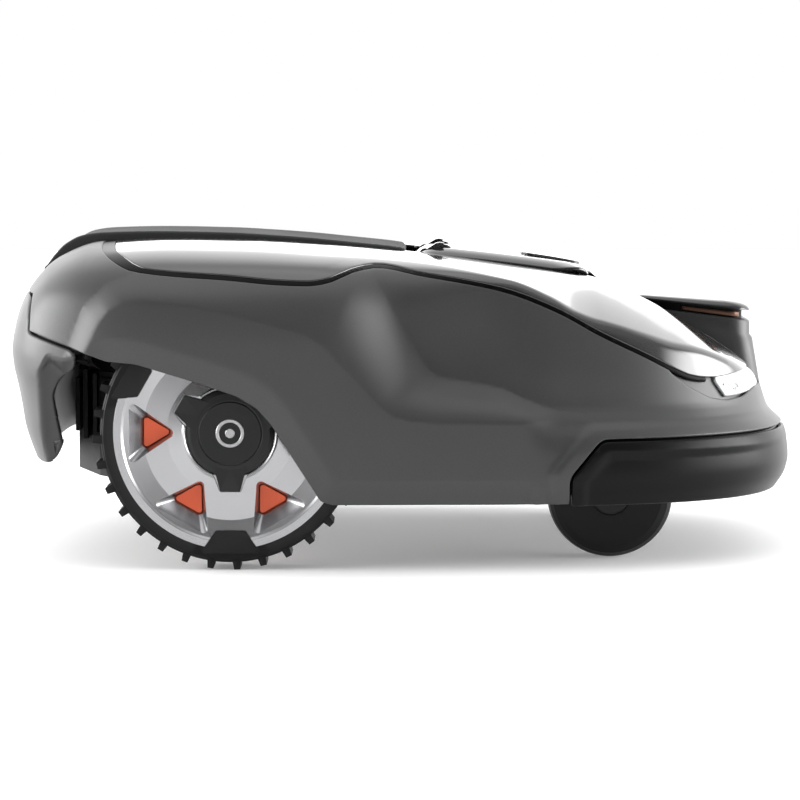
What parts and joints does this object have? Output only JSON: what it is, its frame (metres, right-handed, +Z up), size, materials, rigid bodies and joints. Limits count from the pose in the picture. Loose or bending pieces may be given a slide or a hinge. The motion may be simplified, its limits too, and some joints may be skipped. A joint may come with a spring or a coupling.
{
  "type": "robotic lawn mower",
  "caption": "Low, dome-shelled robotic lawn mower with driven rear wheels, swivelling front casters, a floating shell, a top hatch and a height-adjustable blade disc.",
  "frame": {"origin": "on the ground under the middle of the overall box", "axes": "+X points to the front of the mower, +Y to its left side, +Z up"},
  "size_m": [0.6192, 0.511, 0.25],
  "materials": {
    "shell_grey": "fine-grained dark granite grey",
    "cover_gloss": "high gloss dark grey",
    "seal_black": "satin",
    "bumper_black": "fine-grained near black",
    "nose_black": "satin dark grey",
    "contact_copper": "bright copper",
    "lens_clear": "milky, translucent",
    "circuit_board": "solder mask green",
    "chassis_black": "moulded, slightly rough",
    "console_grey": "fine texture",
    "display_glass": "glossy window over a grey display",
    "battery_grey": "shrink-wrapped",
    "motor_metal": "plated",
    "screw_steel": "zinc plated",
    "button_gloss": "gloss",
    "key_grey": "soft touch",
    "knob_orange": "satin",
    "disc_black": "moulded",
    "blade_steel": "ground edges",
    "tyre_black": "matt rubber",
    "rim_silver": "satin silver lacquer",
    "accent_orange": "satin orange red",
    "cap_black": "satin black",
    "caster_black": "matt rubber"
  },
  "bodies": {
    "chassis": {"chassis_lower": "chassis_black", "chassis_seal": "seal_black", "chassis_upper": "chassis_black", "console_panel": "console_grey", "display_window": "display_glass", "battery_pack": "battery_grey", "main_board": "circuit_board", "wheel_motor_right": "motor_metal", "wheel_motor_left": "motor_metal", "caster_bracket_right": "chassis_black", "caster_bracket_left": "chassis_black", "loop_coils": "motor_metal", "chassis_screws": "screw_steel", "hatch_hinge_pin": "screw_steel"},
    "suspension": {"suspension_pins": "seal_black"},
    "shell": {"body_shell": "shell_grey", "top_cover": "cover_gloss", "cover_trim": "seal_black", "front_bumper": "bumper_black", "rear_bumper": "shell_grey", "contact_nose": "nose_black", "charging_contacts": "contact_copper", "headlight_lens_right": "lens_clear", "headlight_lens_left": "lens_clear", "headlight_boards": "circuit_board"},
    "lid": {"hatch_lid": "cover_gloss"},
    "stop_button": {"stop_button": "button_gloss"},
    "knob": {"height_knob": "knob_orange", "height_screw": "screw_steel"},
    "carriage": {"motor_carriage": "chassis_black", "cutting_motor": "motor_metal"},
    "disc": {"blade_disc": "disc_black", "blade_screws": "screw_steel"},
    "skid": {"skid_plate": "disc_black"},
    "power_switch": {"power_switch": "chassis_black"},
    "blade_1": {"blade_1": "blade_steel"},
    "blade_2": {"blade_2": "blade_steel"},
    "blade_3": {"blade_3": "blade_steel"},
    "key_start": {"key_start": "key_grey"},
    "key_park": {"key_park": "key_grey"},
    "key_back": {"key_back": "key_grey"},
    "key_down": {"key_down": "key_grey"},
    "key_ok": {"key_ok": "key_grey"},
    "key_up": {"key_up": "key_grey"},
    "drive_right": {"drive_tyre_right": "tyre_black", "drive_rim_right": "rim_silver", "drive_accent_right": "accent_orange", "drive_cap_right": "cap_black", "drive_shaft_right": "screw_steel"},
    "swivel_right": {"caster_yoke_right": "chassis_black"},
    "caster_right": {"caster_wheel_right": "caster_black", "caster_cap_right": "cap_black"},
    "drive_left": {"drive_tyre_left": "tyre_black", "drive_rim_left": "rim_silver", "drive_accent_left": "accent_orange", "drive_cap_left": "cap_black", "drive_shaft_left": "screw_steel"},
    "swivel_left": {"caster_yoke_left": "chassis_black"},
    "caster_left": {"caster_wheel_left": "caster_black", "caster_cap_left": "cap_black"}
  },
  "joints": [
    {"name": "drive_spin_right", "type": "hinge", "parent": "chassis", "child": "drive_right", "pos_m": [-0.128, -0.2, 0.1035], "axis": [0, 1, 0], "continuous": true},
    {"name": "swivel_turn_right", "type": "hinge", "parent": "chassis", "child": "swivel_right", "pos_m": [0.185, -0.145, 0.12], "axis": [0, 0, 1], "continuous": true},
    {"name": "caster_roll_right", "type": "hinge", "parent": "swivel_right", "child": "caster_right", "pos_m": [0.163, -0.145, 0.0485], "axis": [0, 1, 0], "continuous": true},
    {"name": "drive_spin_left", "type": "hinge", "parent": "chassis", "child": "drive_left", "pos_m": [-0.128, 0.2, 0.1035], "axis": [0, 1, 0], "continuous": true},
    {"name": "swivel_turn_left", "type": "hinge", "parent": "chassis", "child": "swivel_left", "pos_m": [0.185, 0.145, 0.12], "axis": [0, 0, 1], "continuous": true},
    {"name": "caster_roll_left", "type": "hinge", "parent": "swivel_left", "child": "caster_left", "pos_m": [0.163, 0.145, 0.0485], "axis": [0, 1, 0], "continuous": true},
    {"name": "shell_shift", "type": "slide", "parent": "chassis", "child": "suspension", "axis": [1, 0, 0], "range_m": [-0.006, 0.006], "stiffness_N_per_m": 2500},
    {"name": "shell_lift", "type": "slide", "parent": "suspension", "child": "shell", "axis": [0, 0, 1], "range_m": [0, 0.01]},
    {"name": "hatch_hinge", "type": "hinge", "parent": "chassis", "child": "lid", "pos_m": [0.02, 0, 0.231], "axis": [0, -1, 0], "range_deg": [0, 65]},
    {"name": "stop_press", "type": "slide", "parent": "lid", "child": "stop_button", "axis": [0, 0, 1], "range_m": [-0.004, 0], "stiffness_N_per_m": 800, "springref_m": 0.001},
    {"name": "cutting_height", "type": "slide", "parent": "chassis", "child": "carriage", "axis": [0, 0, 1], "range_m": [-0.04, 0]},
    {"name": "knob_turn", "type": "hinge", "parent": "chassis", "child": "knob", "pos_m": [0.038, 0, 0.2], "axis": [0, 0, 1], "range_deg": [0, 300]},
    {"name": "disc_spin", "type": "hinge", "parent": "carriage", "child": "disc", "pos_m": [0.038, 0, 0.063], "axis": [0, 0, 1], "continuous": true},
    {"name": "skid_spin", "type": "hinge", "parent": "disc", "child": "skid", "pos_m": [0.038, 0, 0.056], "axis": [0, 0, 1], "continuous": true},
    {"name": "power_rocker", "type": "hinge", "parent": "chassis", "child": "power_switch", "pos_m": [-0.2, 0, 0.0655], "axis": [0, 1, 0], "range_deg": [0, 16]},
    {"name": "blade_swing_1", "type": "hinge", "parent": "disc", "child": "blade_1", "pos_m": [0.114, 0, 0.0604], "axis": [0, 0, 1], "continuous": true},
    {"name": "blade_swing_2", "type": "hinge", "parent": "disc", "child": "blade_2", "pos_m": [0, 0.06582, 0.0604], "axis": [0, 0, 1], "continuous": true},
    {"name": "blade_swing_3", "type": "hinge", "parent": "disc", "child": "blade_3", "pos_m": [0, -0.06582, 0.0604], "axis": [0, 0, 1], "continuous": true},
    {"name": "press_start", "type": "slide", "parent": "chassis", "child": "key_start", "axis": [0, 0, 1], "range_m": [-0.001, 0], "stiffness_N_per_m": 600, "springref_m": 0.0005},
    {"name": "press_park", "type": "slide", "parent": "chassis", "child": "key_park", "axis": [0, 0, 1], "range_m": [-0.001, 0], "stiffness_N_per_m": 600, "springref_m": 0.0005},
    {"name": "press_back", "type": "slide", "parent": "chassis", "child": "key_back", "axis": [0, 0, 1], "range_m": [-0.001, 0], "stiffness_N_per_m": 600, "springref_m": 0.0005},
    {"name": "press_down", "type": "slide", "parent": "chassis", "child": "key_down", "axis": [0, 0, 1], "range_m": [-0.001, 0], "stiffness_N_per_m": 600, "springref_m": 0.0005},
    {"name": "press_ok", "type": "slide", "parent": "chassis", "child": "key_ok", "axis": [0, 0, 1], "range_m": [-0.001, 0], "stiffness_N_per_m": 600, "springref_m": 0.0005},
    {"name": "press_up", "type": "slide", "parent": "chassis", "child": "key_up", "axis": [0, 0, 1], "range_m": [-0.001, 0], "stiffness_N_per_m": 600, "springref_m": 0.0005}
  ],
  "couplings": [
    {"joint": "knob_turn", "follows": "cutting_height", "rad_per_m": -130.89}
  ]
}
